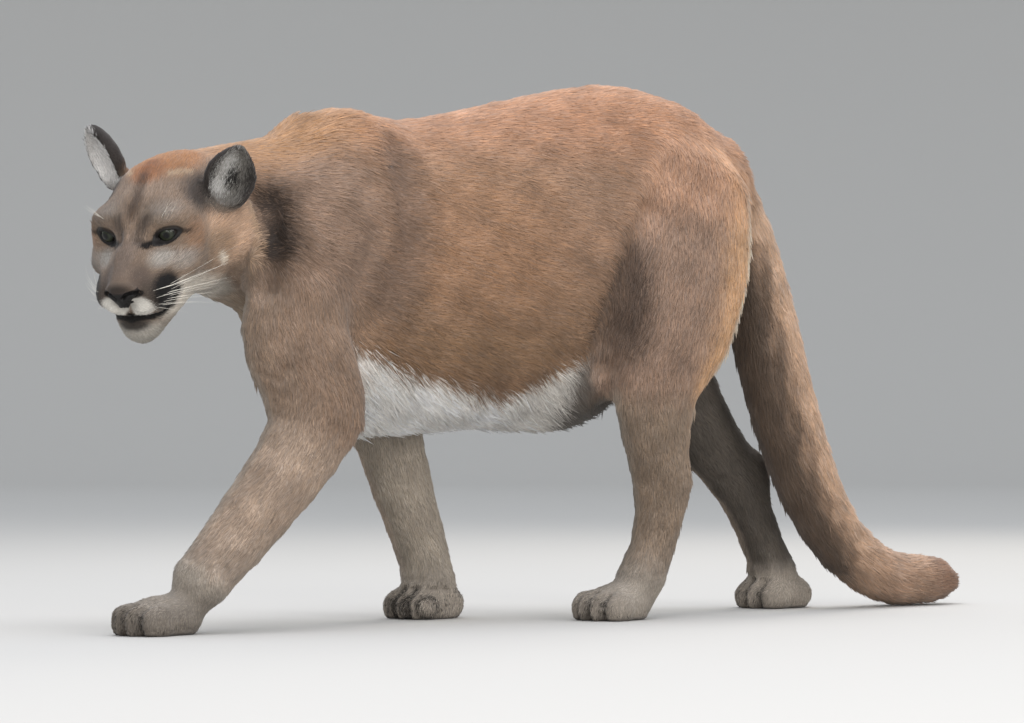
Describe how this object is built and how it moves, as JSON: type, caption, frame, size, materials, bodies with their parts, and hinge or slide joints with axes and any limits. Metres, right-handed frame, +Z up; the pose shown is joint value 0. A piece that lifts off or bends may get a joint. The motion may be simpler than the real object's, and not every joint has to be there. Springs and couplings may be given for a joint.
{
  "type": "cougar",
  "caption": "Life-size male cougar in mid-stride, head lowered and turned to its left, long tail trailing onto the floor.",
  "frame": {"origin": "middle of the bounding box, on the floor under the paws", "axes": "-X towards the head, -Y towards the animal's left side, +Z up"},
  "size_m": [1.454, 0.3214, 0.7205],
  "materials": {
    "coat": "short plush hair",
    "nose": "moist, finely pebbled",
    "eye": "wet gloss"
  },
  "bodies": {
    "root": {"head": "coat", "neck": "coat", "torso": "coat", "ear_left": "coat", "ear_right": "coat", "tail_base": "coat", "tail_middle": "coat", "tail_tip": "coat", "foreleg_left_upper_arm": "coat", "foreleg_left_forearm": "coat", "foreleg_left_paw": "coat", "foreleg_right_upper_arm": "coat", "foreleg_right_forearm": "coat", "foreleg_right_paw": "coat", "hindleg_left_thigh": "coat", "hindleg_left_shank": "coat", "hindleg_left_paw": "coat", "hindleg_right_thigh": "coat", "hindleg_right_shank": "coat", "hindleg_right_paw": "coat", "nose": "nose", "eye_left": "eye", "eye_right": "eye"}
  },
  "joints": []
}
